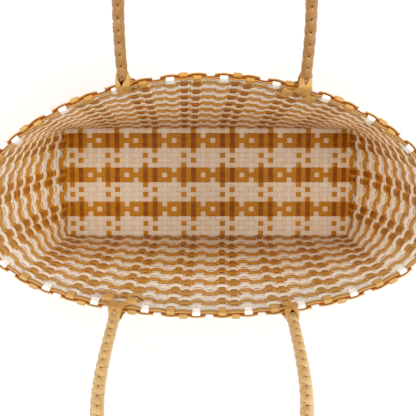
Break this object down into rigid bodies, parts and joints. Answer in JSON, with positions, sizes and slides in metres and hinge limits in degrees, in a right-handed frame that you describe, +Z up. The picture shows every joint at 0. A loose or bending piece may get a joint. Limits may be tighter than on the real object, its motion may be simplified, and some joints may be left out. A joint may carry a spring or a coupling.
{
  "type": "woven tote bag",
  "caption": "Open-topped tote bag woven from flat two-tone plastic strips, with an oval mouth, a folded rim and a pair of braided arch handles that fold over the sides.",
  "frame": {"origin": "on the table, under the middle of the bag's floor", "axes": "+X along the bag to its right end, +Y from the front side to the back side, +Z up through the mouth"},
  "size_m": [0.3596, 0.3582, 0.3719],
  "materials": {
    "white_strip": "soft gloss, fine lengthwise lines",
    "tan_strip": "soft gloss, fine lengthwise lines",
    "tan_rim": "soft gloss",
    "tan_strap": "soft gloss",
    "tan_braid": "soft gloss, round braid"
  },
  "bodies": {
    "bag": {"back_left_handle_strap": "tan_strap", "back_right_handle_strap": "tan_strap", "crosswise_strip_01_tan": "tan_strip", "crosswise_strip_02_tan": "tan_strip", "crosswise_strip_03_white": "white_strip", "crosswise_strip_04_white": "white_strip", "crosswise_strip_05_tan": "tan_strip", "crosswise_strip_06_tan": "tan_strip", "crosswise_strip_07_white": "white_strip", "crosswise_strip_08_white": "white_strip", "crosswise_strip_09_tan": "tan_strip", "crosswise_strip_10_tan": "tan_strip", "crosswise_strip_11_white": "white_strip", "crosswise_strip_12_white": "white_strip", "crosswise_strip_13_tan": "tan_strip", "crosswise_strip_14_tan": "tan_strip", "crosswise_strip_15_white": "white_strip", "crosswise_strip_16_white": "white_strip", "crosswise_strip_17_tan": "tan_strip", "crosswise_strip_18_tan": "tan_strip", "crosswise_strip_19_white": "white_strip", "crosswise_strip_20_white": "white_strip", "crosswise_strip_21_tan": "tan_strip", "crosswise_strip_22_tan": "tan_strip", "crosswise_strip_23_white": "white_strip", "crosswise_strip_24_white": "white_strip", "crosswise_strip_25_tan": "tan_strip", "crosswise_strip_26_tan": "tan_strip", "crosswise_strip_27_white": "white_strip", "crosswise_strip_28_white": "white_strip", "crosswise_strip_29_tan": "tan_strip", "crosswise_strip_30_tan": "tan_strip", "front_left_handle_strap": "tan_strap", "front_right_handle_strap": "tan_strap", "lengthwise_group_1_tan": "tan_strip", "lengthwise_group_2_white": "white_strip", "lengthwise_group_3_tan": "tan_strip", "lengthwise_group_4_white": "white_strip", "lengthwise_group_5_tan": "tan_strip", "lengthwise_group_6_white": "white_strip", "rim_inner_band": "tan_rim", "rim_outer_band": "tan_rim", "weft_hoop_01_tan": "tan_strip", "weft_hoop_02_white": "white_strip", "weft_hoop_03_tan": "tan_strip", "weft_hoop_04_white": "white_strip", "weft_hoop_05_tan": "tan_strip", "weft_hoop_06_white": "white_strip", "weft_hoop_07_tan": "tan_strip", "weft_hoop_08_white": "white_strip", "weft_hoop_09_tan": "tan_strip", "weft_hoop_10_white": "white_strip", "weft_hoop_11_tan": "tan_strip", "weft_hoop_12_white": "white_strip", "weft_hoop_13_tan": "tan_strip", "weft_hoop_14_white": "white_strip", "weft_hoop_15_tan": "tan_strip", "weft_hoop_16_white": "white_strip"},
    "front_handle": {"front_handle": "tan_braid"},
    "back_handle": {"back_handle": "tan_braid"}
  },
  "joints": [
    {"name": "front_handle_fold", "type": "hinge", "parent": "bag", "child": "front_handle", "pos_m": [-0.0035, -0.08528, 0.1976], "axis": [1, 0, 0], "range_deg": [-40, 73]},
    {"name": "back_handle_fold", "type": "hinge", "parent": "bag", "child": "back_handle", "pos_m": [0.0045, 0.08324, 0.1976], "axis": [1, 0, 0], "range_deg": [-42, 71]}
  ]
}
